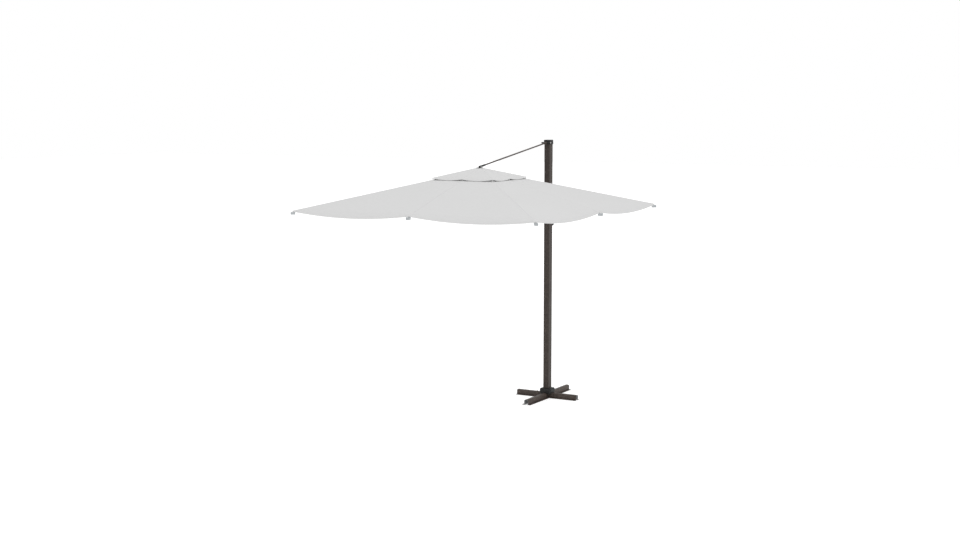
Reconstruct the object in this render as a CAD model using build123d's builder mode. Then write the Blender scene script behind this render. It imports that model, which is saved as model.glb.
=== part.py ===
from build123d import *
import os
from math import atan2, cos, degrees, hypot, radians, sin, sqrt

os.makedirs("parts", exist_ok=True)

# Cantilever parasol, open. Millimetres, +Z up.
# Origin: the mast's centre line, on the floor. The canopy hangs towards -Y.

# base
foot_reach = {"right": 372.0, "left": 372.0, "back": 508.0, "front": 508.0}
foot_turn = {"right": 0.0, "back": 90.0, "left": 180.0, "front": 270.0}
foot_start = 25.5
foot_width = 50.0
foot_height = 57.0
foot_wall = 4.0
foot_round = 14.0
foot_flange = 25.0
hub_post = 50.6
hub_plate = 96.0
hub_plate_low = 57.2
hub_plate_top = 70.0
tongue_width = foot_width - 2 * foot_wall - 2
tongue_height = foot_height - foot_wall - 0.1
tongue_reach = 150.0
cover_size = 136.0
cover_low = 46.0
cover_top = 107.0
cover_wall = 4.0
bolt_d = 8.0

# mast
mast_x = 66.0
mast_y = 84.0
mast_round = 8.0
mast_wall = 2.0
mast_top = 2848.0
cap_top = 2888.0
cap_x = 76.0
cap_y = 96.0
ear_x = 54.0

# stay, from the mast cap to the crown, in the plane x = 0
stay_top_y = -60.0
stay_top_z = 2856.0
stay_low_y = -1535.0
stay_low_z = 2647.0
stay_d = 15.0

# slider and lower arms
slider_low = 1968.0
slider_high = 2130.0
slider_x = 84.0
slider_y = 104.0
arm_pivot_y = -82.0
arm_pivot_z = 2015.0
arm_x = 50.0
arm_thick = 14.0
arm_height = 26.0
arm_pin_d = 10.0
grip_low = 1932.0
grip_high = 2123.0
lever_y = 82.0
lever_z = 2101.0

# canopy
canopy_y = -1542.0
half_side = 1350.0
rim_z = 2237.0
peak_z = 2620.0
cloth = 1.0
cloth_gap = 0.3
hem_drop = 54.0
hem_least = 10.0
hole_half = 240.0
vent_half = 356.0
vent_peak_z = 2643.0
vent_rim_z = 2540.0
vent_drop = 20.0
vent_least = 3.0
vent_hole = 26.0

# crown, runner, ribs and spreaders
hinge_r = 45.0
hinge_z = 2592.5
hinge_pin_d = 5.0
rib_w = 12.0
rib_h = 15.0
rib_wall = 1.2
middle_offset = 11.0
corner_offset = 13.0
runner_open = 275.0
runner_closed = 620.0
runner_hinge_r = 38.0
runner_pin_d = 4.0
closed_angle = 84.0
tip_in = 24.0
tip_out = 18.0
middle_tip_shift = 8.0
tip_width = 32.0
tip_height = 26.0
tip_top = 13.2
spreader_side = 9.0
spreader_t = 4.0
spreader_h = 12.0
tube_d = 30.0
axle_drop = 38.0
axle_d = 10.0

running = 0.05
names = ["right", "back_right", "back", "back_left", "left", "front_left", "front", "front_right"]
turn = {name: 45.0 * i for i, name in enumerate(names)}
corner = {name: i % 2 == 1 for i, name in enumerate(names)}

runner_z = hinge_z - runner_open
axle_z = runner_z - axle_drop


def save(part, name):
    part.label = name
    export_step(part, f"parts/{name}.step")


def around(angle, r, t, z):
    """A point at radius r, sideways t, height z, about the canopy's axis."""
    a = radians(angle)
    return (r * cos(a) - t * sin(a), canopy_y + r * sin(a) + t * cos(a), z)


def rib_slope(name):
    """How far the rib points below the horizontal, and its length to the tip's centre."""
    if corner[name]:
        run = half_side * sqrt(2) - hinge_r
        drop = hinge_z - (rim_z - corner_offset)
    else:
        run = half_side - hinge_r
        drop = hinge_z - (rim_z - middle_offset)
    return degrees(atan2(drop, run)), hypot(run, drop)


def along(angle, slope, origin):
    """A plane across a bar: x sideways, y up, z along the bar as it falls by slope."""
    a = radians(angle)
    s = radians(slope)
    return Plane(
        origin=origin,
        x_dir=(-sin(a), cos(a), 0),
        z_dir=(cos(a) * cos(s), sin(a) * cos(s), -sin(s)),
    )


def across(angle, origin):
    """A plane that holds a bar's length: x outwards, y up, z sideways."""
    a = radians(angle)
    return Plane(origin=origin, x_dir=(cos(a), sin(a), 0), z_dir=(sin(a), -cos(a), 0))


# ---------------------------------------------------------------- base

for name, reach in foot_reach.items():
    a = radians(foot_turn[name])
    face = Plane(
        origin=(foot_start * cos(a), foot_start * sin(a), 0),
        x_dir=(-sin(a), cos(a), 0),
        z_dir=(cos(a), sin(a), 0),
    )
    top = Plane(origin=(0, 0, foot_height), x_dir=(cos(a), sin(a), 0), z_dir=(0, 0, 1))
    half = foot_width / 2
    with BuildPart() as foot:
        with BuildSketch(face):
            with BuildLine():
                Polyline(
                    (-half - foot_flange, 0),
                    (-half - foot_flange, foot_wall),
                    (-half, foot_wall),
                    (-half, foot_height),
                    (half, foot_height),
                    (half, foot_wall),
                    (half + foot_flange, foot_wall),
                    (half + foot_flange, 0),
                    (half - foot_wall, 0),
                    (half - foot_wall, foot_height - foot_wall),
                    (-half + foot_wall, foot_height - foot_wall),
                    (-half + foot_wall, 0),
                    close=True,
                )
            make_face()
        extrude(amount=reach - foot_start)
        under = foot_height - foot_wall
        long_edges = foot.edges().filter_by(Axis((0, 0, 0), (cos(a), sin(a), 0)))
        fillet(long_edges.filter_by_position(Axis.Z, under - 0.1, under + 0.1), foot_round - foot_wall)
        long_edges = foot.edges().filter_by(Axis((0, 0, 0), (cos(a), sin(a), 0)))
        fillet(long_edges.group_by(Axis.Z)[-1], foot_round)
        with BuildSketch(top):
            with Locations((85, 0), (125, 0)):
                Circle(bolt_d / 2 + 0.2)
        extrude(amount=-foot_wall - 1, mode=Mode.SUBTRACT)
        with BuildSketch(Plane(origin=(0, 0, -1), x_dir=(cos(a), sin(a), 0), z_dir=(0, 0, 1))):
            for side in (-1, 1):
                with BuildLine():
                    Polyline(
                        (half + 0.3, side * half),
                        (half + 26.3, side * (half + 26)),
                        (half + 0.3, side * (half + 26)),
                        close=True,
                    )
                make_face()
        extrude(amount=foot_wall + 2, mode=Mode.SUBTRACT)
    save(foot.part, f"foot_{name}")

with BuildPart() as base_hub:
    with BuildSketch():
        Rectangle(hub_post, hub_post)
    extrude(amount=hub_plate_top)
    with BuildSketch(Plane.XY.offset(4)):
        Rectangle(2 * tongue_reach, tongue_width)
        Rectangle(tongue_width, 2 * tongue_reach)
    extrude(amount=tongue_height - 4)
    tongue_tops = base_hub.edges().filter_by_position(Axis.Z, tongue_height - 0.1, tongue_height + 0.1)
    for way in (Axis.X, Axis.Y):
        fillet(tongue_tops.filter_by(way).filter_by(lambda edge: edge.length > 80), foot_round - 2)
    with BuildSketch(Plane.XY.offset(hub_plate_low)):
        RectangleRounded(hub_plate, hub_plate, 12)
    extrude(amount=hub_plate_top - hub_plate_low)
    with BuildSketch(Plane.XY.offset(hub_plate_top)):
        RectangleRounded(mast_x - 2 * mast_wall - 0.4, mast_y - 2 * mast_wall - 0.4, mast_round - mast_wall)
    extrude(amount=80)
    chamfer(base_hub.faces().sort_by(Axis.Z)[-1].edges(), 3)
    with BuildSketch(Plane.XY.offset(tongue_height)):
        for name in foot_turn:
            a = radians(foot_turn[name])
            with Locations((85 * cos(a), 85 * sin(a)), (125 * cos(a), 125 * sin(a))):
                Circle(bolt_d / 2 + running)
    extrude(amount=-22, mode=Mode.SUBTRACT)
    for side in (-1, 1):
        with BuildSketch(Plane(origin=(side * 40, 0, 85), x_dir=(0, 1, 0), z_dir=(-side, 0, 0))):
            with Locations((-20, 0), (20, 0)):
                Circle(bolt_d / 2 + running)
        extrude(amount=28, mode=Mode.SUBTRACT)
save(base_hub.part, "base_hub")

with BuildPart() as hub_cover:
    with BuildSketch(Plane.XY.offset(cover_low)):
        RectangleRounded(cover_size, cover_size, 24)
    extrude(amount=cover_top - cover_low)
    fillet(hub_cover.faces().sort_by(Axis.Z)[-1].edges(), 14)
    fillet(hub_cover.faces().sort_by(Axis.Z)[0].edges(), 2)
    with BuildSketch(Plane.XY.offset(cover_low)):
        RectangleRounded(cover_size - 2 * cover_wall, cover_size - 2 * cover_wall, 20)
    extrude(amount=cover_top - 11 - cover_low, mode=Mode.SUBTRACT)
    with BuildSketch(Plane.XY.offset(60)):
        RectangleRounded(mast_x + 1, mast_y + 1, mast_round + 0.5)
    extrude(amount=60, mode=Mode.SUBTRACT)
    with BuildSketch(Plane.XY.offset(cover_low)):
        Rectangle(cover_size + 20, foot_width + 1)
        Rectangle(foot_width + 1, cover_size + 20)
    extrude(amount=foot_height + 0.5 - cover_low, mode=Mode.SUBTRACT)
save(hub_cover.part, "hub_cover")

with BuildPart() as base_bolts:
    for name in foot_turn:
        a = radians(foot_turn[name])
        for r in (85, 125):
            with BuildSketch(Plane(origin=(r * cos(a), r * sin(a), foot_height + 0.05))):
                Circle(8)
            extrude(amount=4)
            with BuildSketch(Plane(origin=(r * cos(a), r * sin(a), foot_height + 0.05))):
                Circle(bolt_d / 2)
            extrude(amount=-25)
    for side in (-1, 1):
        for y in (-20, 20):
            head = Plane(origin=(side * (mast_x / 2 + 0.05), y, 85), x_dir=(0, 1, 0), z_dir=(side, 0, 0))
            with BuildSketch(head):
                Circle(8)
            extrude(amount=4)
            with BuildSketch(head):
                Circle(bolt_d / 2)
            extrude(amount=-17)
save(base_bolts.part, "base_bolts")

# ---------------------------------------------------------------- mast

with BuildPart() as mast_tube:
    with BuildSketch(Plane.XY.offset(hub_plate_top + 0.05)):
        RectangleRounded(mast_x, mast_y, mast_round)
        inside = (mast_x - 2 * mast_wall, mast_y - 2 * mast_wall, mast_round - mast_wall)
        RectangleRounded(*inside, mode=Mode.SUBTRACT)
    extrude(amount=mast_top - hub_plate_top - 0.05)
    for y in (-20, 20):
        with BuildSketch(Plane(origin=(40, y, 85), x_dir=(0, 1, 0), z_dir=(-1, 0, 0))):
            Circle(bolt_d / 2 + 0.2)
        extrude(amount=80, mode=Mode.SUBTRACT)
save(mast_tube.part, "mast_tube")

with BuildPart() as mast_cap:
    with BuildSketch(Plane.XY.offset(cap_top - 48)):
        RectangleRounded(cap_x, cap_y, 12)
    extrude(amount=48)
    fillet(mast_cap.faces().sort_by(Axis.Z)[-1].edges(), 9)
    with BuildSketch(Plane(origin=(-ear_x, 0, 0), x_dir=(0, 1, 0), z_dir=(1, 0, 0))):
        with Locations((stay_top_y, stay_top_z)):
            Circle(8)
    extrude(amount=2 * ear_x)
    with BuildSketch(Plane(origin=(-30, 0, 0), x_dir=(0, 1, 0), z_dir=(1, 0, 0))):
        with Locations((stay_top_y + 8, stay_top_z)):
            Rectangle(16, 16)
    extrude(amount=60)
    with BuildSketch(Plane.XY.offset(cap_top - 60)):
        with Locations((0, -64)):
            Rectangle(24, 34)
    extrude(amount=60, mode=Mode.SUBTRACT)
    with BuildSketch(Plane.XY.offset(cap_top - 60)):
        RectangleRounded(mast_x + 0.3, mast_y + 0.3, mast_round + 0.15)
    extrude(amount=60 - (cap_top - mast_top) + 0.1, mode=Mode.SUBTRACT)
    with BuildSketch(Plane(origin=(-70, 0, 0), x_dir=(0, 1, 0), z_dir=(1, 0, 0))):
        with Locations((stay_top_y, stay_top_z)):
            Circle(4.02)
    extrude(amount=140, mode=Mode.SUBTRACT)
save(mast_cap.part, "mast_cap")

with BuildPart() as stay_pin:
    with BuildSketch(Plane(origin=(-ear_x - 3, 0, 0), x_dir=(0, 1, 0), z_dir=(1, 0, 0))):
        with Locations((stay_top_y, stay_top_z)):
            Circle(4)
    extrude(amount=2 * ear_x + 6)
    for x in (-ear_x - 3.2, ear_x + 0.2):
        with BuildSketch(Plane(origin=(x, 0, 0), x_dir=(0, 1, 0), z_dir=(1, 0, 0))):
            with Locations((stay_top_y, stay_top_z)):
                Circle(7)
        extrude(amount=3)
save(stay_pin.part, "stay_pin")

# ---------------------------------------------------------------- slider

with BuildPart() as slider_body:
    with BuildSketch(Plane.XY.offset(slider_low)):
        RectangleRounded(slider_x, slider_y, 20)
    extrude(amount=slider_high - slider_low)
    rims = slider_body.faces().sort_by(Axis.Z)[0].edges() + slider_body.faces().sort_by(Axis.Z)[-1].edges()
    fillet(rims, 3)
    for x in (-42, 30):
        with BuildSketch(Plane(origin=(x, 0, 0), x_dir=(0, 1, 0), z_dir=(1, 0, 0))):
            with Locations((arm_pivot_y, arm_pivot_z)):
                Circle(14)
            with BuildLine():
                Polyline(
                    (arm_pivot_y, arm_pivot_z - 14),
                    (-30, arm_pivot_z - 34),
                    (-30, arm_pivot_z + 34),
                    (arm_pivot_y, arm_pivot_z + 14),
                    close=True,
                )
            make_face()
        extrude(amount=12)
    with BuildSketch(Plane.XY.offset(slider_low)):
        RectangleRounded(mast_x + 3.4, mast_y + 3.4, mast_round + 1.7)
    extrude(amount=slider_high - slider_low, mode=Mode.SUBTRACT)
    with BuildSketch(Plane(origin=(-50, 0, 0), x_dir=(0, 1, 0), z_dir=(1, 0, 0))):
        with Locations((arm_pivot_y, arm_pivot_z)):
            Circle(arm_pin_d / 2 + 0.02)
    extrude(amount=100, mode=Mode.SUBTRACT)
save(slider_body.part, "slider_body")

with BuildPart() as slider_liners:
    for z in (slider_low + 3, slider_high - 33):
        with BuildSketch(Plane.XY.offset(z)):
            RectangleRounded(mast_x + 3.2, mast_y + 3.2, mast_round + 1.6)
            RectangleRounded(mast_x + 0.2, mast_y + 0.2, mast_round + 0.1, mode=Mode.SUBTRACT)
        extrude(amount=30)
save(slider_liners.part, "slider_liners")

with BuildPart() as slider_grip:
    with BuildSketch(Plane(origin=(-13, 0, 0), x_dir=(0, 1, 0), z_dir=(1, 0, 0))):
        with BuildLine():
            Polyline(
                (52.3, slider_low + 2),
                (72, grip_low),
                (118, grip_low),
                (118, grip_high),
                (52.3, grip_high),
                close=True,
            )
        make_face()
        with BuildLine():
            Polyline(
                (59, slider_low + 15),
                (76, grip_low + 22),
                (98, grip_low + 22),
                (98, grip_high - 32),
                (59, grip_high - 32),
                close=True,
            )
        make_face(mode=Mode.SUBTRACT)
    extrude(amount=26)
    fillet(slider_grip.edges().filter_by(Axis.X).group_by(Axis.Y)[-1], 16)
    fillet(slider_grip.faces().filter_by(Axis.X).edges().filter_by_position(Axis.Y, 60, 120), 5)
    with BuildSketch(Plane(origin=(-7, 0, 0), x_dir=(0, 1, 0), z_dir=(1, 0, 0))):
        with Locations((lever_y + 1, lever_z - 2)):
            Rectangle(20, 24)
    extrude(amount=14, mode=Mode.SUBTRACT)
    with BuildSketch(Plane(origin=(-10.5, 0, 0), x_dir=(0, 1, 0), z_dir=(1, 0, 0))):
        with Locations((lever_y, lever_z)):
            Circle(2.5 + running)
    extrude(amount=21, mode=Mode.SUBTRACT)
save(slider_grip.part, "slider_grip")

with BuildPart() as arm_pin:
    with BuildSketch(Plane(origin=(-61, 0, 0), x_dir=(0, 1, 0), z_dir=(1, 0, 0))):
        with Locations((arm_pivot_y, arm_pivot_z)):
            Circle(arm_pin_d / 2)
    extrude(amount=122)
    for x in (-62, 58):
        with BuildSketch(Plane(origin=(x, 0, 0), x_dir=(0, 1, 0), z_dir=(1, 0, 0))):
            with Locations((arm_pivot_y, arm_pivot_z)):
                Circle(9)
        extrude(amount=4)
save(arm_pin.part, "arm_pin")

with BuildPart() as lock_lever:
    with BuildSketch(Plane(origin=(-6.5, 0, 0), x_dir=(0, 1, 0), z_dir=(1, 0, 0))):
        with Locations((lever_y, lever_z)):
            Circle(6)
        with BuildLine():
            Polyline(
                (lever_y - 5, lever_z),
                (lever_y - 4, lever_z - 80),
                (lever_y - 2, lever_z - 84),
                (lever_y + 2, lever_z - 84),
                (lever_y + 4, lever_z - 80),
                (lever_y + 5, lever_z),
                close=True,
            )
        make_face()
    extrude(amount=13)
    with BuildSketch(Plane(origin=(-10, 0, 0), x_dir=(0, 1, 0), z_dir=(1, 0, 0))):
        with Locations((lever_y, lever_z)):
            Circle(2.5)
    extrude(amount=20)
save(lock_lever.part, "lock_lever")

# ---------------------------------------------------------------- lower arms

arm_run = arm_pivot_y - canopy_y
arm_rise = axle_z - arm_pivot_z
arm_length = hypot(arm_run, arm_rise)
for name, side in (("left", -1), ("right", 1)):
    low = Plane(
        origin=(side * arm_x, arm_pivot_y, arm_pivot_z),
        x_dir=(1, 0, 0),
        z_dir=(0, -arm_run, arm_rise),
    )
    flat = Plane(
        origin=(side * arm_x - arm_thick / 2, arm_pivot_y, arm_pivot_z),
        x_dir=(0, -arm_run, arm_rise),
        z_dir=(1, 0, 0),
    )
    with BuildPart() as arm:
        with BuildSketch(low.offset(16)):
            Rectangle(arm_thick, arm_height)
            Rectangle(arm_thick - 3, arm_height - 3, mode=Mode.SUBTRACT)
        extrude(amount=arm_length - 36)
        with BuildSketch(flat):
            Circle(13)
            with Locations((9, 0)):
                Rectangle(18, 26)
            with Locations((arm_length, 0)):
                Circle(19)
            with Locations((arm_length - 14, 0)):
                Rectangle(28, 26)
        extrude(amount=arm_thick)
        with BuildSketch(flat.offset(-1)):
            Circle(arm_pin_d / 2 + running)
            with Locations((arm_length, 0)):
                Circle(axle_d / 2 + 7)
        extrude(amount=arm_thick + 2, mode=Mode.SUBTRACT)
    save(arm.part, f"arm_{name}")

# ---------------------------------------------------------------- stay

stay_run = stay_top_y - stay_low_y
stay_rise = stay_top_z - stay_low_z
stay_length = hypot(stay_run, stay_rise)
stay_axis = Plane(origin=(0, stay_low_y, stay_low_z), x_dir=(1, 0, 0), z_dir=(0, stay_run, stay_rise))
stay_side = Plane(origin=(0, stay_low_y, stay_low_z), x_dir=(0, stay_run, stay_rise), z_dir=(1, 0, 0))
ferrule_start = 25.0
ferrule_end = 105.0

with BuildPart() as stay_bar:
    with BuildSketch(stay_axis.offset(42)):
        Circle(stay_d / 2)
        Circle(stay_d / 2 - 1.5, mode=Mode.SUBTRACT)
    extrude(amount=stay_length - 42 - 32)
save(stay_bar.part, "stay_bar")

with BuildPart() as stay_eye:
    with BuildSketch(stay_side.offset(-11)):
        with Locations((stay_length, 0)):
            Circle(11)
    extrude(amount=22)
    with BuildSketch(stay_axis.offset(stay_length - 52)):
        Circle(10)
    extrude(amount=46)
    with BuildSketch(stay_axis.offset(stay_length - 52)):
        Circle(stay_d / 2 + running)
    extrude(amount=20.5, mode=Mode.SUBTRACT)
    with BuildSketch(stay_side.offset(-12)):
        with Locations((stay_length, 0)):
            Circle(4 + running)
    extrude(amount=24, mode=Mode.SUBTRACT)
save(stay_eye.part, "stay_eye")

with BuildPart() as stay_fork:
    with BuildSketch(stay_side.offset(-11)):
        Circle(8)
        with Locations((17, 0)):
            Rectangle(34, 16)
    extrude(amount=22)
    with BuildSketch(stay_side.offset(-5.3)):
        with Locations((-2, 0)):
            Rectangle(40, 40)
    extrude(amount=10.6, mode=Mode.SUBTRACT)
    with BuildSketch(stay_axis.offset(ferrule_start)):
        Circle(10)
    extrude(amount=ferrule_end - ferrule_start)
    with BuildSketch(stay_axis.offset(41.5)):
        Circle(stay_d / 2 + running)
    extrude(amount=ferrule_end - 41, mode=Mode.SUBTRACT)
    with BuildSketch(stay_side.offset(-12)):
        Circle(4 + running)
    extrude(amount=24, mode=Mode.SUBTRACT)
save(stay_fork.part, "stay_fork")

# ---------------------------------------------------------------- crown

with BuildPart() as crown_hub:
    with BuildSketch(Plane((0, canopy_y, hinge_z - 13))):
        Circle(55)
    extrude(amount=26)
    with BuildSketch(Plane((0, canopy_y, hinge_z - 30))):
        Circle(24)
    extrude(amount=20)
    with BuildSketch(Plane((0, canopy_y, hinge_z + 13))):
        Circle(22)
    extrude(amount=2636 - hinge_z - 13)
    with BuildSketch(Plane((0, canopy_y, hinge_z - 30))):
        Circle(tube_d / 2 + running)
    extrude(amount=40, mode=Mode.SUBTRACT)
    for name in names:
        with BuildSketch(along(turn[name], 0, around(turn[name], 31, 0, hinge_z))):
            Rectangle(8.6, 30)
        extrude(amount=30, mode=Mode.SUBTRACT)
        with BuildSketch(across(turn[name], around(turn[name], hinge_r, 12.5, hinge_z))):
            Circle(hinge_pin_d / 2 + 0.02)
        extrude(amount=25, mode=Mode.SUBTRACT)
save(crown_hub.part, "crown_hub")

with BuildPart() as crown_pins:
    for name in names:
        with BuildSketch(across(turn[name], around(turn[name], hinge_r, 12, hinge_z))):
            Circle(hinge_pin_d / 2)
        extrude(amount=24)
save(crown_pins.part, "crown_pins")

with BuildPart() as centre_tube:
    with BuildSketch(Plane((0, canopy_y, 2068))):
        Circle(tube_d / 2)
        Circle(tube_d / 2 - 2, mode=Mode.SUBTRACT)
    extrude(amount=hinge_z + 9.9 - 2068)
save(centre_tube.part, "centre_tube")

with BuildPart() as crown_cap:
    with BuildSketch(Plane((0, canopy_y, 2636.1))):
        Circle(36)
    extrude(amount=2.4)
    fillet(crown_cap.faces().sort_by(Axis.Z)[-1].edges(), 1)
    with BuildSketch(Plane(origin=(-5, stay_low_y, stay_low_z), x_dir=(0, 1, 0), z_dir=(1, 0, 0))):
        Circle(8)
        with Locations((0, -5)):
            Rectangle(16, 10)
        Circle(4.02, mode=Mode.SUBTRACT)
    extrude(amount=10)
save(crown_cap.part, "crown_cap")

with BuildPart() as cap_pin:
    with BuildSketch(Plane(origin=(-13, stay_low_y, stay_low_z), x_dir=(0, 1, 0), z_dir=(1, 0, 0))):
        Circle(4)
    extrude(amount=26)
    for x in (-14, 11.2):
        with BuildSketch(Plane(origin=(x, stay_low_y, stay_low_z), x_dir=(0, 1, 0), z_dir=(1, 0, 0))):
            Circle(6)
        extrude(amount=2.8)
save(cap_pin.part, "cap_pin")

# ---------------------------------------------------------------- runner

with BuildPart() as runner_hub:
    with BuildSketch(Plane((0, canopy_y, axle_z - 16))):
        Circle(22)
    extrude(amount=16 + axle_drop)
    with BuildSketch(Plane((0, canopy_y, runner_z - 11))):
        Circle(46)
    extrude(amount=22)
    with BuildSketch(Plane((0, canopy_y, runner_z))):
        Circle(18)
    extrude(amount=200)
    with BuildSketch(Plane((-42, canopy_y, 0), x_dir=(0, 1, 0), z_dir=(1, 0, 0))):
        with Locations((0, axle_z)):
            Circle(12)
    extrude(amount=84)
    with BuildSketch(Plane((0, canopy_y, axle_z - 20))):
        Circle(tube_d / 2 + running)
    extrude(amount=280, mode=Mode.SUBTRACT)
    for name in names:
        with BuildSketch(along(turn[name], 0, around(turn[name], 29, spreader_side, runner_z))):
            Rectangle(spreader_t + 0.6, 23)
        extrude(amount=30, mode=Mode.SUBTRACT)
        with BuildSketch(across(turn[name], around(turn[name], runner_hinge_r, 16.5, runner_z))):
            Circle(runner_pin_d / 2 + 0.02)
        extrude(amount=15, mode=Mode.SUBTRACT)
    with BuildSketch(Plane((-50, canopy_y, 0), x_dir=(0, 1, 0), z_dir=(1, 0, 0))):
        with Locations((0, axle_z)):
            Circle(axle_d / 2 + 0.02)
    extrude(amount=100, mode=Mode.SUBTRACT)
save(runner_hub.part, "runner_hub")

with BuildPart() as runner_pins:
    for name in names:
        with BuildSketch(across(turn[name], around(turn[name], runner_hinge_r, 16, runner_z))):
            Circle(runner_pin_d / 2)
        extrude(amount=14)
save(runner_pins.part, "runner_pins")

with BuildPart() as runner_axles:
    for side in (-1, 1):
        with BuildSketch(Plane((side * 18, canopy_y, axle_z), x_dir=(0, 1, 0), z_dir=(side, 0, 0))):
            Circle(axle_d / 2)
        extrude(amount=42)
        with BuildSketch(Plane((side * 58, canopy_y, axle_z), x_dir=(0, 1, 0), z_dir=(side, 0, 0))):
            Circle(14)
        extrude(amount=3)
save(runner_axles.part, "runner_axles")

# ---------------------------------------------------------------- ribs, tips and spreaders

for name in names:
    angle = turn[name]
    slope, reach = rib_slope(name)
    hinge = around(angle, hinge_r, 0, hinge_z)
    line = along(angle, slope, hinge)
    tube_end = reach - 19

    arm_gap = hinge_r - runner_hinge_r
    shut = radians(closed_angle)
    flat = radians(slope)
    top = runner_closed**2 - runner_open**2
    bottom = arm_gap * (cos(flat) - cos(shut)) - runner_open * sin(flat) + runner_closed * sin(shut)
    joint = top / (2 * bottom)
    spread_run = arm_gap + joint * cos(flat)
    spread_rise = runner_open - joint * sin(flat)
    spread_length = hypot(spread_run, spread_rise)
    spread_slope = -degrees(atan2(spread_rise, spread_run))

    with BuildPart() as rib:
        with BuildSketch(line.offset(18)):
            Rectangle(rib_w, rib_h)
            Rectangle(rib_w - 2 * rib_wall, rib_h - 2 * rib_wall, mode=Mode.SUBTRACT)
        extrude(amount=tube_end - 18)
        with BuildSketch(line.offset(-0.001)):
            Rectangle(8, rib_h - 2 * rib_wall)
        extrude(amount=34)
        with BuildSketch(line.offset(18)):
            Rectangle(rib_w, rib_h)
        extrude(amount=4)
        with BuildSketch(across(angle, around(angle, hinge_r, 4, hinge_z))):
            Circle((rib_h - 2 * rib_wall) / 2)
        extrude(amount=8)
        with BuildSketch(across(angle, around(angle, hinge_r, 4.5, hinge_z))):
            Circle(hinge_pin_d / 2 + running)
        extrude(amount=9, mode=Mode.SUBTRACT)
        run = hinge_r + joint * cos(flat)
        for t in (rib_w / 2 + 0.7, -rib_w / 2 + 0.2):
            with BuildSketch(across(angle, around(angle, run, t, hinge_z - joint * sin(flat)))):
                Circle(5)
            extrude(amount=0.9 if t > 0 else 2.2)
    save(rib.part, f"rib_{name}")

    rim_r = half_side * (sqrt(2) if corner[name] else 1)
    block_r = rim_r - tip_in + (0 if corner[name] else middle_tip_shift)
    block = along(angle, 0, around(angle, block_r, 0, rim_z - tip_top - tip_height / 2))
    with BuildPart() as tip:
        with BuildSketch(block):
            RectangleRounded(tip_width, tip_height, 6)
        extrude(amount=tip_in + tip_out)
        fillet(tip.faces().sort_by(Axis((0, canopy_y, 0), tuple(block.z_dir)))[-1].edges(), 4)
        with BuildSketch(line.offset(tube_end - 40)):
            Rectangle(rib_w + 0.2, rib_h + 0.2)
        extrude(amount=40.1, mode=Mode.SUBTRACT)
        with BuildSketch(line.offset(tube_end + 0.2)):
            Rectangle(rib_w, rib_h)
        extrude(amount=7.5)
        with BuildSketch(line.offset(tube_end - 20)):
            Rectangle(rib_w - 2 * rib_wall - 0.1, rib_h - 2 * rib_wall - 0.1)
        extrude(amount=22)
    save(tip.part, f"tip_{name}")

    pivot = around(angle, runner_hinge_r, spreader_side, runner_z)
    side_plane = across(angle, around(angle, runner_hinge_r, spreader_side + spreader_t / 2, runner_z))
    bar_line = along(angle, spread_slope, pivot)
    far_r = runner_hinge_r + spread_run
    far_z = runner_z + spread_rise
    with BuildPart() as spreader:
        with BuildSketch(bar_line):
            Rectangle(spreader_t, spreader_h)
        extrude(amount=spread_length)
        with BuildSketch(side_plane):
            Circle(spreader_h / 2)
            with Locations((spread_run, spread_rise)):
                Circle(spreader_h / 2)
        extrude(amount=spreader_t)
        with BuildSketch(across(angle, around(angle, far_r, spreader_side + spreader_t / 2 + 2, far_z))):
            Circle(5)
        extrude(amount=2.1)
        with BuildSketch(across(angle, around(angle, runner_hinge_r, spreader_side + 3, runner_z))):
            Circle(runner_pin_d / 2 + running)
        extrude(amount=6, mode=Mode.SUBTRACT)
    save(spreader.part, f"spreader_{name}")

# ---------------------------------------------------------------- cloth


def panel_plane(side, low_r, low_z, high_z):
    """The plane of one side's cloth: x sideways, y up the slope, z out of the top face."""
    a = radians(side)
    rise = high_z - low_z
    length = hypot(low_r, rise)
    return Plane(
        origin=(0, canopy_y, high_z),
        x_dir=(-sin(a), cos(a), 0),
        z_dir=(cos(a) * rise / length, sin(a) * rise / length, low_r / length),
    )


def panel(side, first, last, inner, outer, high_z, low_z, least, drop):
    """Cloth from inner to outer, between two shares of the side's half width, with its hem."""
    a = radians(side)
    stretch = hypot(outer, high_z - low_z) / outer
    gap = cloth_gap / 2
    first_gap = gap if abs(first) == 0.5 else 0
    last_gap = gap if abs(last) == 0.5 else 0
    with BuildSketch(panel_plane(side, outer, low_z, high_z)) as outline:
        with BuildLine():
            Polyline(
                (first * inner + first_gap, -inner * stretch),
                (last * inner - last_gap, -inner * stretch),
                (last * outer - last_gap, -outer * stretch),
                (first * outer + first_gap, -outer * stretch),
                close=True,
            )
        make_face()
    extrude(outline.sketch, amount=-cloth)
    edge = Plane(
        origin=(outer * cos(a), canopy_y + outer * sin(a), low_z),
        x_dir=(-sin(a), cos(a), 0),
        z_dir=(cos(a), sin(a), 0),
    )
    for middle in (first, last):
        if abs(middle) == 0.5:
            rib = first + last - middle if first + last else 0.0
            inset = gap + cloth / 2
            middle_x = middle * outer + (inset if rib > middle else -inset)
            hem(edge, rib * outer, middle_x, least, drop)


def hem(edge, rib_x, middle_x, least, drop):
    """A hanging hem from a rib to the middle between two ribs, where it is deepest."""
    half_x = (rib_x + middle_x) / 2
    half_drop = least + 0.75 * (drop - least)
    with BuildSketch(edge) as outline:
        with BuildLine():
            Line((rib_x, -0.1), (middle_x, -0.1))
            Line((middle_x, -0.1), (middle_x, -drop))
            ThreePointArc((middle_x, -drop), (half_x, -half_drop), (rib_x, -least))
            Line((rib_x, -least), (rib_x, -0.1))
        make_face()
    extrude(outline.sketch, amount=-cloth)


def tie(angle, r, low_z, high_z):
    """The tape that holds the vent's corner down to the main cloth."""
    with BuildSketch(along(angle, 0, around(angle, r, 0, (low_z + high_z) / 2))) as outline:
        Rectangle(18, high_z - low_z)
    extrude(outline.sketch, amount=cloth)


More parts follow.
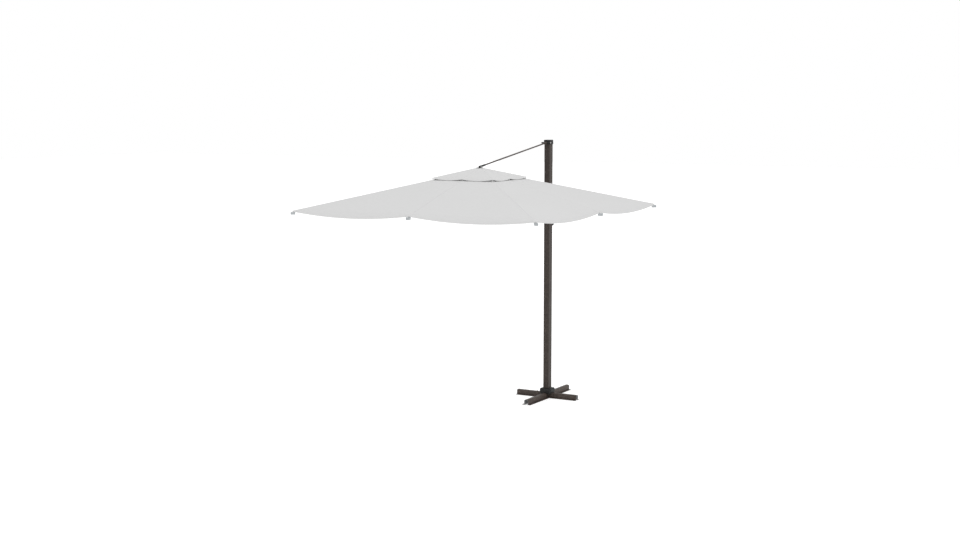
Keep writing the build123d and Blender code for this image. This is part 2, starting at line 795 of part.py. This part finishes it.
main_fall = (peak_z - rim_z) / half_side
vent_fall = (vent_peak_z - vent_rim_z) / vent_half
for name in names:
    with BuildPart() as gore:
        if corner[name]:
            pieces = ((turn[name] - 45, 0.5, 1.0), (turn[name] + 45, -1.0, -0.5))
            tie_r = vent_half * sqrt(2) - 12
            share = 1 / sqrt(2)
        else:
            pieces = ((turn[name], -0.5, 0.5),)
            tie_r = vent_half - 8
            share = 1.0
        for side, first, last in pieces:
            panel(side, first, last, hole_half, half_side, peak_z, rim_z, hem_least, hem_drop)
            panel(side, first, last, vent_hole, vent_half, vent_peak_z, vent_rim_z, vent_least, vent_drop)
        low = peak_z - main_fall * share * tie_r - 0.6
        high = vent_peak_z - vent_fall * share * tie_r - 0.6
        tie(turn[name], tie_r, low, high)
    save(gore.part, f"gore_{name}")
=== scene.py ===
import bpy
from math import cos, pi, radians, sin, sqrt
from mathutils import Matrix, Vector


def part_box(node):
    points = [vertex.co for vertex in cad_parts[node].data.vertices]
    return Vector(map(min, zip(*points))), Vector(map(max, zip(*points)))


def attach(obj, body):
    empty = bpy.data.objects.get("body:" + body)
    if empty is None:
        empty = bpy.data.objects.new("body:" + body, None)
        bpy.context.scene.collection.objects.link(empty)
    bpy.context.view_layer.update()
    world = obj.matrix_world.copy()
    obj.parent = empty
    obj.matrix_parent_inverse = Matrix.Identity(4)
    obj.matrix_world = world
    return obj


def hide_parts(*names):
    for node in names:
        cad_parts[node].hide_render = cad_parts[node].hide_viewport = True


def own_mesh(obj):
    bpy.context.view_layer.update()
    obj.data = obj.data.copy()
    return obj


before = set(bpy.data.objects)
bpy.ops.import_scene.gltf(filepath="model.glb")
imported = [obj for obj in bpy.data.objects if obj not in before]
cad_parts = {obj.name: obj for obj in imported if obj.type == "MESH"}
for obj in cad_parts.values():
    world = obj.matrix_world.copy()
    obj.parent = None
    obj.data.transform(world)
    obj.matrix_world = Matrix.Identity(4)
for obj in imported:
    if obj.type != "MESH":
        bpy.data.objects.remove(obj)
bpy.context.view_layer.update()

# ------------------------------------------------------------------ sizes, in metres

NAMES = ["right", "back_right", "back", "back_left", "left", "front_left", "front", "front_right"]
TURN = {name: 45.0 * i for i, name in enumerate(NAMES)}
IS_CORNER = {name: i % 2 == 1 for i, name in enumerate(NAMES)}

crown_low, crown_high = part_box("crown_hub")
CENTRE = Vector(((crown_low[0] + crown_high[0]) / 2, (crown_low[1] + crown_high[1]) / 2, 0))
HALF_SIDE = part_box("gore_right")[1][0] - CENTRE.x

# The feet's hat section, to tell its inside, painted paler as painted light, from its painted outside.
RAIL_WIDTH = 0.050
RAIL_HEIGHT = 0.057
RAIL_WALL = 0.004
RAIL_ROUND = 0.014

# Cloth: its thickness, and the two forms it takes. peak_z and rim_z are the heights of the
# point that its ribs aim at and of its rim; inner and outer are half sides of its square.
CLOTH = 0.0009
MAIN = {
    "peak_z": 2.620,
    "rim_z": 2.237,
    "inner": 0.240,
    "outer": HALF_SIDE,
    "sag": 0.013,
    "curl": 0.085,
    "scallop": 0.034,
    "turn_down": 0.010,
    "dip": 0.0,
    "band": 0.020,
    "rows": 26,
}
VENT = {
    "peak_z": 2.643,
    "rim_z": 2.540,
    "inner": 0.026,
    "outer": 0.356,
    "sag": 0.002,
    "curl": 0.060,
    "scallop": 0.0145,
    "turn_down": 0.003,
    "dip": 0.004,
    "band": 0.012,
    "rows": 14,
}

THREADS = 260.0
STITCH_PITCH = 0.0035
STITCH_GAP = -0.4
STITCH_HALF = 0.0005
HEM_STITCHES = (0.0165, 0.0035)
RIB_STITCH = 0.0035

# ------------------------------------------------------------------ materials


class Nodes:
    """A small builder for node materials."""

    def __init__(self, name):
        self.material = bpy.data.materials.new(name)
        self.material.use_nodes = True
        self.tree = self.material.node_tree
        self.shader = self.tree.nodes["Principled BSDF"]

    def add(self, kind, **values):
        node = self.tree.nodes.new(kind)
        for key, value in values.items():
            if hasattr(node, key):
                setattr(node, key, value)
            else:
                node.inputs[key.replace("_", " ")].default_value = value
        return node

    def link(self, a, b):
        self.tree.links.new(a, b)

    def coords(self):
        return self.add("ShaderNodeTexCoord").outputs["Object"]

    def uv(self, name):
        """The two parts of a UV map, in metres."""
        split = self.add("ShaderNodeSeparateXYZ")
        self.link(self.add("ShaderNodeUVMap", uv_map=name).outputs["UV"], split.inputs["Vector"])
        return split.outputs["X"], split.outputs["Y"]

    def joined(self, x, y):
        node = self.add("ShaderNodeCombineXYZ")
        self.link(x, node.inputs["X"])
        self.link(y, node.inputs["Y"])
        return node.outputs["Vector"]

    def mapped(self, source, scale):
        node = self.add("ShaderNodeMapping")
        node.inputs["Scale"].default_value = scale
        self.link(source, node.inputs["Vector"])
        return node.outputs["Vector"]

    def noise(self, source, scale, detail=3.0, rough=0.55):
        node = self.add("ShaderNodeTexNoise", Scale=scale, Detail=detail, Roughness=rough)
        self.link(source, node.inputs["Vector"])
        return node.outputs["Fac"]

    def remap(self, source, low, high, to_low, to_high):
        node = self.add("ShaderNodeMapRange")
        node.inputs["From Min"].default_value = low
        node.inputs["From Max"].default_value = high
        node.inputs["To Min"].default_value = to_low
        node.inputs["To Max"].default_value = to_high
        self.link(source, node.inputs["Value"])
        return node.outputs["Result"]

    def math(self, how, a, b=0.0):
        node = self.add("ShaderNodeMath", operation=how)
        for socket, value in zip(node.inputs, (a, b)):
            if isinstance(value, (int, float)):
                socket.default_value = value
            else:
                self.link(value, socket)
        return node.outputs["Value"]

    def mix(self, factor, a, b):
        node = self.add("ShaderNodeMix", data_type="RGBA")
        for socket, value in ((node.inputs[0], factor), (node.inputs[6], a), (node.inputs[7], b)):
            if isinstance(value, (int, float, tuple)):
                socket.default_value = value
            else:
                self.link(value, socket)
        return node.outputs[2]

    def bump(self, height, strength, distance):
        node = self.add("ShaderNodeBump")
        node.inputs["Strength"].default_value = strength
        node.inputs["Distance"].default_value = distance
        self.link(height, node.inputs["Height"])
        return node.outputs["Normal"]

    def edges(self, low, high):
        """Where the surface turns outwards, for wear along edges."""
        point = self.add("ShaderNodeNewGeometry").outputs["Pointiness"]
        return self.remap(point, low, high, 0.0, 1.0)

    def near(self, value, middle, half_width):
        """1 within half_width of middle, 0 elsewhere."""
        away = self.math("ABSOLUTE", self.math("SUBTRACT", value, middle))
        return self.math("LESS_THAN", away, half_width)

    def dashes(self, value):
        """1 on each stitch along value, 0 between them."""
        wave = self.math("SINE", self.math("MULTIPLY", value, 2 * pi / STITCH_PITCH))
        return self.math("GREATER_THAN", wave, STITCH_GAP)


NEUTRAL = (1.0, 1.0, 1.0)
BROWN = (1.22, 0.95, 0.82)
COOL = (0.95, 1.0, 1.03)
FRAME_GREY = 0.047


def grey(value, tint=NEUTRAL):
    return tuple(value * t for t in tint) + (1.0,)


def powder_coat(name, value, tint=BROWN, rough=0.48, gloss=0.2, painted_light_axis=None):
    """Fine-grained powder coat, a little worn on its edges. Its last argument names the axis across a foot;
    the inside of that foot is painted a paler grey, which is painted light standing in for light that
    reaches into the channel."""
    m = Nodes(name)
    where = m.coords()
    fine = m.noise(where, 900.0, 2.0)
    broad = m.noise(where, 7.0, 3.0)
    base = m.mix(m.remap(broad, 0.3, 0.7, 0.0, 1.0), grey(value * 0.93, tint), grey(value * 1.07, tint))
    wear = m.math("MULTIPLY", m.edges(0.53, 0.60), m.remap(m.noise(where, 60.0), 0.45, 0.7, 0.0, 0.5))
    colour = m.mix(wear, base, grey(value * 2.2, tint))
    if painted_light_axis:
        split = m.add("ShaderNodeSeparateXYZ")
        m.link(where, split.inputs["Vector"])
        across = m.math("ABSOLUTE", split.outputs[painted_light_axis])
        aside = m.math("MAXIMUM", m.math("SUBTRACT", across, RAIL_WIDTH / 2 - RAIL_ROUND), 0.0)
        above = m.math("MAXIMUM", m.math("SUBTRACT", split.outputs["Z"], RAIL_HEIGHT - RAIL_ROUND), 0.0)
        away = m.math("ADD", m.math("MULTIPLY", aside, aside), m.math("MULTIPLY", above, above))
        # Painted light: the channel's inside gets a paler, mottled grey in place of the light that reaches
        # into it.
        inside = m.math("LESS_THAN", away, (RAIL_ROUND - RAIL_WALL / 2) ** 2)
        painted_light_grey = m.mix(m.noise(where, 160.0), grey(0.22), grey(0.29, (0.98, 1.0, 1.02)))
        colour = m.mix(inside, colour, painted_light_grey)
    m.link(colour, m.shader.inputs["Base Color"])
    m.link(m.remap(broad, 0.2, 0.8, rough - 0.05, rough + 0.07), m.shader.inputs["Roughness"])
    m.link(m.bump(fine, 0.22, 0.0004), m.shader.inputs["Normal"])
    m.shader.inputs["Specular IOR Level"].default_value = gloss
    return m.material


def moulded(name, value, tint=NEUTRAL, rough=0.55, gloss=0.3):
    """Moulded plastic with a spark-eroded grain and slightly paler worn edges."""
    m = Nodes(name)
    where = m.coords()
    fine = m.noise(where, 1400.0, 2.0, 0.6)
    broad = m.noise(where, 12.0, 2.0)
    base = m.mix(broad, grey(value * 0.92, tint), grey(value * 1.08, tint))
    wear = m.math("MULTIPLY", m.edges(0.53, 0.62), 0.35)
    m.link(m.mix(wear, base, grey(min(value * 1.7, 0.8), tint)), m.shader.inputs["Base Color"])
    m.link(m.remap(broad, 0.2, 0.8, rough - 0.05, rough + 0.05), m.shader.inputs["Roughness"])
    m.link(m.bump(fine, 0.3, 0.0005), m.shader.inputs["Normal"])
    m.shader.inputs["Specular IOR Level"].default_value = gloss
    return m.material


def plated(name, value, rough=0.32):
    """Zinc-plated or turned steel: fine turning lines and faint clouding."""
    m = Nodes(name)
    where = m.coords()
    lines = m.noise(m.mapped(where, (1.0, 1.0, 40.0)), 120.0, 2.0)
    cloud = m.noise(where, 90.0, 3.0)
    colour = m.mix(cloud, grey(value * 0.85), grey(value * 1.1, (1.0, 1.0, 0.97)))
    m.link(colour, m.shader.inputs["Base Color"])
    m.link(m.remap(cloud, 0.2, 0.8, rough - 0.06, rough + 0.12), m.shader.inputs["Roughness"])
    m.shader.inputs["Metallic"].default_value = 1.0
    m.link(m.bump(lines, 0.15, 0.0002), m.shader.inputs["Normal"])
    return m.material


def canopy_cloth(name, value):
    """Woven polyester. UV map 'weave' runs along the hem and up the panel; UV map 'edge'
    holds the distances from the rib's seam and from the hem, for the two lines of stitching."""
    m = Nodes(name)
    across, up = m.uv("weave")
    from_seam, from_hem = m.uv("edge")
    flat = m.joined(across, up)
    warp = m.add("ShaderNodeTexWave", wave_type="BANDS", bands_direction="X", Scale=THREADS, Distortion=0.6)
    weft = m.add("ShaderNodeTexWave", wave_type="BANDS", bands_direction="Y", Scale=THREADS, Distortion=0.6)
    m.link(flat, warp.inputs["Vector"])
    m.link(flat, weft.inputs["Vector"])
    weave = m.math("MULTIPLY", warp.outputs["Fac"], weft.outputs["Fac"])
    slub = m.noise(m.mapped(flat, (18.0, THREADS, 1.0)), 1.0)
    slub_across = m.noise(m.mapped(flat, (THREADS, 18.0, 1.0)), 1.0)
    threads = m.math("MULTIPLY", m.math("ADD", slub, slub_across), 0.5)
    cloud = m.noise(m.coords(), 2.2)
    base = m.mix(m.remap(threads, 0.35, 0.65, 0.0, 1.0), grey(value * 0.965), grey(value * 1.03))
    shade = m.mix(m.remap(cloud, 0.3, 0.7, 0.0, 0.35), base, grey(value * 0.96))

    upper_line, lower_line = (m.near(from_hem, place, STITCH_HALF) for place in HEM_STITCHES)
    hem = m.math("MULTIPLY", m.dashes(across), m.math("ADD", upper_line, lower_line))
    rib = m.math("MULTIPLY", m.dashes(up), m.near(from_seam, RIB_STITCH, STITCH_HALF))
    stitch = m.math("MAXIMUM", hem, rib)
    m.link(m.mix(stitch, shade, grey(value * 0.88)), m.shader.inputs["Base Color"])
    m.shader.inputs["Roughness"].default_value = 0.88
    m.shader.inputs["Specular IOR Level"].default_value = 0.3
    m.shader.inputs["Sheen Weight"].default_value = 0.1
    m.shader.inputs["Sheen Roughness"].default_value = 0.5
    height = m.math("ADD", weave, m.math("MULTIPLY", threads, 0.8))
    m.link(m.bump(m.math("ADD", height, stitch), 0.25, 0.0003), m.shader.inputs["Normal"])
    return m.material


frame_coat = powder_coat("frame_coat", FRAME_GREY)
foot_coat_x = powder_coat("foot_coat_x", FRAME_GREY, painted_light_axis="Y")
foot_coat_y = powder_coat("foot_coat_y", FRAME_GREY, painted_light_axis="X")
mast_coat = powder_coat("mast_coat", 0.031)
rib_coat = powder_coat("rib_coat", 0.045, rough=0.45)
charcoal = moulded("charcoal_plastic", 0.0150, rough=0.55, gloss=0.25)
black = moulded("black_plastic", 0.0115, rough=0.5, gloss=0.25)
pale = moulded("pale_plastic", 0.36, COOL, rough=0.45)
liner = moulded("liner_plastic", 0.6, rough=0.5)
zinc = plated("zinc", 0.55)
cast = powder_coat("cast_iron", 0.04, NEUTRAL, rough=0.7)
cloth = canopy_cloth("canopy_cloth", 0.575)


def paint(node, material):
    """Gives a CAD node its finished material."""
    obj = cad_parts[node]
    for item in obj.material_slots:
        item.material = material
    if not obj.material_slots:
        obj.data.materials.append(material)


COATS = {
    frame_coat: ["base_bolts", "arm_left", "arm_right", "stay_bar", "stay_eye"],
    foot_coat_x: ["foot_right", "foot_left"],
    foot_coat_y: ["foot_back", "foot_front"],
    mast_coat: ["mast_tube"],
    rib_coat: [f"rib_{n}" for n in NAMES] + [f"spreader_{n}" for n in NAMES] + ["centre_tube"],
    charcoal: ["hub_cover"],
    black: ["mast_cap", "slider_body", "slider_grip", "lock_lever", "crown_hub", "runner_hub"]
    + ["stay_fork", "crown_cap"],
    pale: [f"tip_{n}" for n in NAMES],
    liner: ["slider_liners"],
    zinc: ["stay_pin", "arm_pin", "cap_pin", "crown_pins", "runner_pins", "runner_axles"],
    cast: ["base_hub"],
}
for material, nodes in COATS.items():
    for node in nodes:
        paint(node, material)

# ------------------------------------------------------------------ cloth

# Columns of a gore from its rib outwards: the nearer of a distance and a share of the row's
# half width. The first few make the raised seam and the pocket over the rib's tip.
COLUMNS = [(0, 0), (0.0050, 0.010), (0.0058, 0.0122), (0.014, 0.024), (0.0280, 0.044), (0.0290, 0.048)]
COLUMNS += [(9, s) for s in (0.08, 0.12, 0.165, 0.21, 0.26, 0.31, 0.36, 0.41, 0.46, 0.5)]
SEAM_COLUMNS = 2
POCKET_COLUMNS = 5
SEAM_RISE = 0.0006
BAND_RISE = 0.0005
POCKET_RISE = 0.0005
POCKET_LENGTH = 0.055
HEM_STEP = 0.0008
HEM_BEND = 0.006
HEM_BEND_ROWS = 5
CURL_ROWS = 5
SHARP_ANGLE = 50
TIE_WIDTH = 0.016
TIE_THICKNESS = 0.001
TIE_INSET = 0.010
TIE_BOW = 0.002
TIE_LEVELS = 5


def side_vectors(side):
    a = radians(side)
    return Vector((cos(a), sin(a), 0)), Vector((-sin(a), cos(a), 0))


def cloth_point(form, side, r, share, turn_down):
    """A point of the cloth: r out from the middle, share of the half width sideways."""
    out, along = side_vectors(side)
    s = abs(share)
    bulge = 4 * s * (1 - s)
    reach = r / form["outer"]
    fall = (form["peak_z"] - form["rim_z"]) / form["outer"]
    sag = form["sag"] * bulge * reach**1.3 * (1 - 0.25 * reach)
    curl = max(0.0, (r - (form["outer"] - form["curl"])) / form["curl"])
    dip = form["dip"] * reach**2 * (1 - s) ** 2
    z = form["peak_z"] - fall * r - sag - dip - form["scallop"] * bulge * curl**2
    z -= form["turn_down"] * turn_down
    return CENTRE + out * r + along * (r * share) + Vector((0, 0, z))


def cloth_rows(form):
    """(distance from the middle, how far the hem has turned down), closer at the hem."""
    outer, curl, band = form["outer"], form["curl"], form["band"]
    radii = [form["inner"] + (outer - curl - form["inner"]) * i / form["rows"] for i in range(form["rows"])]
    radii += [outer - curl + (curl - band) * i / CURL_ROWS for i in range(CURL_ROWS)]
    radii += [outer - band, outer - band + HEM_STEP]
    radii += [outer - band + HEM_STEP + (band - HEM_STEP - HEM_BEND) * i / 2 for i in (1, 2)]
    rows = [(r, 0.0) for r in radii]
    for i in range(1, HEM_BEND_ROWS + 1):
        t = i / HEM_BEND_ROWS * pi / 2
        rows.append((outer - HEM_BEND * (1 - sin(t)), 1 - cos(t)))
    return rows


def gore_columns(name, r):
    """(half, side, share, distance from the rib) of each column across a gore at one row."""
    if IS_CORNER[name]:
        first_side, second_side = TURN[name] - 45, TURN[name] + 45
    else:
        first_side = second_side = TURN[name]
    line = []
    for half in (0, 1):
        for reach, part in COLUMNS:
            away = min(reach, part * r) / r
            if IS_CORNER[name]:
                share = 1 - away if half == 0 else away - 1
            else:
                share = -away if half == 0 else away
            line.append((half, first_side if half == 0 else second_side, share, away * r))
    first = list(reversed(line[: len(COLUMNS)]))
    return first + line[len(COLUMNS) + 1 :]


def rise(form, from_hem, column):
    """How far the seam, the hem's band and the tip's pocket stand above the cloth."""
    height = 0.0
    steps = abs(column - (len(COLUMNS) - 1))
    if steps < SEAM_COLUMNS:
        height = SEAM_RISE
    if from_hem < form["band"]:
        height = max(height, BAND_RISE)
    if form is MAIN and steps < POCKET_COLUMNS and from_hem < POCKET_LENGTH:
        height = BAND_RISE + POCKET_RISE
    return height


def run_length(points):
    return sum((b - a).length for a, b in zip(points, points[1:]))


def gore_shell(obj_name, name, form, material):
    """A thin closed sheet over one gore, with its seam, hem band and pocket; and its flat
    size, width along the hem by length up the rib."""
    rows = cloth_rows(form)
    grid, marks = [], []
    for r, turned in rows:
        columns = gore_columns(name, r)
        grid.append([cloth_point(form, side, r, share, turned) for _, side, share, _ in columns])
        marks.append([(r, share * r, away, form["outer"] - r) for _, _, share, away in columns])
    n_rows, n_cols = len(grid), len(grid[0])
    middle = len(COLUMNS) - 1

    vertices = []
    normals = []
    for i in range(n_rows):
        line = []
        for j in range(n_cols):
            down = grid[min(i + 1, n_rows - 1)][j] - grid[max(i - 1, 0)][j]
            across = grid[i][min(j + 1, n_cols - 1)] - grid[i][max(j - 1, 0)]
            n = down.cross(across).normalized()
            line.append(n if n.z > 0 else -n)
        normals.append(line)
    for layer in (0, 1):
        for i in range(n_rows):
            for j in range(n_cols):
                lift = -CLOTH if layer else rise(form, marks[i][j][3], j)
                vertices.append(grid[i][j] + normals[i][j] * lift)
    size = n_rows * n_cols

    def at(layer, i, j):
        return layer * size + i * n_cols + j

    faces, places = [], []

    def face(corners, half):
        faces.append([at(*corner) for corner in corners])
        places.append([(i, j, half) for _, i, j in corners])

    for i in range(n_rows - 1):
        for j in range(n_cols - 1):
            half = 0 if j < middle else 1
            ring = [(i, j), (i + 1, j), (i + 1, j + 1), (i, j + 1)]
            face([(0, *c) for c in ring], half)
            face([(1, *c) for c in reversed(ring)], half)
    last = n_cols - 1
    for i in range(n_rows - 1):
        face([(0, i, 0), (1, i, 0), (1, i + 1, 0), (0, i + 1, 0)], 0)
        face([(0, i + 1, last), (1, i + 1, last), (1, i, last), (0, i, last)], 1)
    last = n_rows - 1
    for j in range(n_cols - 1):
        half = 0 if j < middle else 1
        face([(0, 0, j + 1), (1, 0, j + 1), (1, 0, j), (0, 0, j)], half)
        face([(0, last, j), (1, last, j), (1, last, j + 1), (0, last, j + 1)], half)

    mesh = bpy.data.meshes.new(obj_name)
    mesh.from_pydata([tuple(v) for v in vertices], [], faces)
    weave = mesh.uv_layers.new(name="weave")
    edge = mesh.uv_layers.new(name="edge")
    for polygon, corners in zip(mesh.polygons, places):
        for loop, (i, j, half) in zip(polygon.loop_indices, corners):
            r, sideways, away, from_hem = marks[i][j]
            if IS_CORNER[name] and j == middle:
                sideways = r if half == 0 else -r
            weave.data[loop].uv = (sideways, r)
            edge.data[loop].uv = (away, from_hem)
    mesh.materials.append(material)
    mesh.update()
    for polygon in mesh.polygons:
        polygon.use_smooth = True
    mesh.set_sharp_from_angle(angle=radians(SHARP_ANGLE))
    obj = bpy.data.objects.new(obj_name, mesh)
    bpy.context.collection.objects.link(obj)
    hem = grid[-1]
    width = (hem[-1] - hem[0]).length if IS_CORNER[name] else run_length(hem)
    return obj, (width, run_length([line[middle] for line in grid]))


def tie_tape(obj_name, name, material):
    """The tape that holds the vent's hem down to the main cloth over a rib."""
    a = radians(TURN[name])
    out, along = Vector((cos(a), sin(a), 0)), Vector((-sin(a), cos(a), 0))
    stretch = sqrt(2) if IS_CORNER[name] else 1.0
    r = VENT["outer"] - TIE_INSET
    side = TURN[name] - 45 if IS_CORNER[name] else TURN[name]
    share = 1.0 if IS_CORNER[name] else 0.0
    low = cloth_point(MAIN, side, r, share, 0).z + 0.0004
    high = cloth_point(VENT, side, r, share, 0).z - CLOTH - 0.0002
    half_width, half_thick = TIE_WIDTH / 2, TIE_THICKNESS / 2
    vertices = []
    for k in range(TIE_LEVELS):
        t = k / (TIE_LEVELS - 1)
        bow = TIE_BOW * 4 * t * (1 - t)
        middle = CENTRE + out * (r * stretch - bow) + Vector((0, 0, low + (high - low) * t))
        for u, v in ((-1, -1), (1, -1), (1, 1), (-1, 1)):
            vertices.append(middle + along * (u * half_width) + out * (v * half_thick))
    faces = [[3, 2, 1, 0]]
    for k in range(TIE_LEVELS - 1):
        for c in range(4):
            d = (c + 1) % 4
            faces.append([4 * k + c, 4 * k + d, 4 * k + 4 + d, 4 * k + 4 + c])
    top = 4 * (TIE_LEVELS - 1)
    faces.append([top, top + 1, top + 2, top + 3])
    mesh = bpy.data.meshes.new(obj_name)
    mesh.from_pydata([tuple(v) for v in vertices], [], faces)
    for layer_name in ("weave", "edge"):
        layer = mesh.uv_layers.new(name=layer_name)
        for loop in mesh.loops:
            p = mesh.vertices[loop.vertex_index].co
            layer.data[loop.index].uv = (Vector(p).dot(along) + 1.0, p.z)
    mesh.materials.append(material)
    mesh.update()
    obj = bpy.data.objects.new(obj_name, mesh)
    bpy.context.collection.objects.link(obj)
    return obj, high - low


def fold(obj, name):
    """Hangs the cloth on its rib set's body, with a mesh of its own."""
    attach(obj, f"ribset_{name}")
    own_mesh(obj)


def sheet_area(obj):
    """One face of the sheet."""
    return sum(p.area for p in obj.data.polygons) / 2


# A middle gore is cut as a triangle and a corner gore as a kite, both without their points.
for name in NAMES:
    main, main_flat = gore_shell(f"canopy_{name}", name, MAIN, cloth)
    vent, vent_flat = gore_shell(f"vent_{name}", name, VENT, cloth)
    tie, tie_length = tie_tape(f"vent_tie_{name}", name, cloth)
    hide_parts(f"gore_{name}")
    for obj, flat, area in (
        (main, main_flat, sheet_area(main)),
        (vent, vent_flat, sheet_area(vent)),
        (tie, (TIE_WIDTH, tie_length), TIE_WIDTH * tie_length),
    ):
        fold(obj, name)

# ------------------------------------------------------------------ floor, light and camera

FLOOR_HALF = 60
FLOOR_WHITE = 0.9
FLOOR_GLOW = 0.35
KEY_PLACE, KEY_AIM, KEY_SIZE, KEY_POWER = (3.0, -4.6, 11.0), (0, -1.542, 2.0), 8.0, 200.0
SENSOR, LENS = 36.0, 54.64
CAMERA_PLACE, CAMERA_DOWN, CAMERA_TURN = (7.329, -14.420, 3.275), 0.1131, 0.5171

floor_mesh = bpy.data.meshes.new("floor")
floor_corners = [(FLOOR_HALF * u, FLOOR_HALF * v, 0) for u, v in ((-1, -1), (1, -1), (1, 1), (-1, 1))]
floor_mesh.from_pydata(floor_corners, [], [(0, 1, 2, 3)])
floor = bpy.data.objects.new("floor", floor_mesh)
bpy.context.collection.objects.link(floor)
pale_floor = Nodes("pale_floor")
pale_floor.shader.inputs["Base Color"].default_value = grey(FLOOR_WHITE)
pale_floor.shader.inputs["Roughness"].default_value = 0.9
pale_floor.shader.inputs["Emission Color"].default_value = (1, 1, 1, 1)
pale_floor.shader.inputs["Emission Strength"].default_value = FLOOR_GLOW
floor_mesh.materials.append(pale_floor.material)

world = bpy.data.worlds.new("studio")
bpy.context.scene.world = world
world.use_nodes = True
world.node_tree.nodes["Background"].inputs["Color"].default_value = (1, 1, 1, 1)
world.node_tree.nodes["Background"].inputs["Strength"].default_value = 1.0
bpy.context.scene.view_settings.view_transform = "Standard"


def area_light(name, place, aim, size, power):
    data = bpy.data.lights.new(name, "AREA")
    data.size = size
    data.energy = power
    obj = bpy.data.objects.new(name, data)
    obj.location = place
    obj.rotation_mode = "QUATERNION"
    obj.rotation_quaternion = (Vector(aim) - Vector(place)).to_track_quat("-Z", "Y")
    bpy.context.collection.objects.link(obj)


# One wide soft box, over the corner between the two sides of the canopy that show.
area_light("key_light", KEY_PLACE, KEY_AIM, KEY_SIZE, KEY_POWER)

camera_data = bpy.data.cameras.new("camera")
camera_data.sensor_width = SENSOR
camera_data.lens = LENS
camera = bpy.data.objects.new("camera", camera_data)
camera.location = CAMERA_PLACE
camera.rotation_euler = (pi / 2 - CAMERA_DOWN, 0.0, CAMERA_TURN)
bpy.context.collection.objects.link(camera)
bpy.context.scene.camera = camera
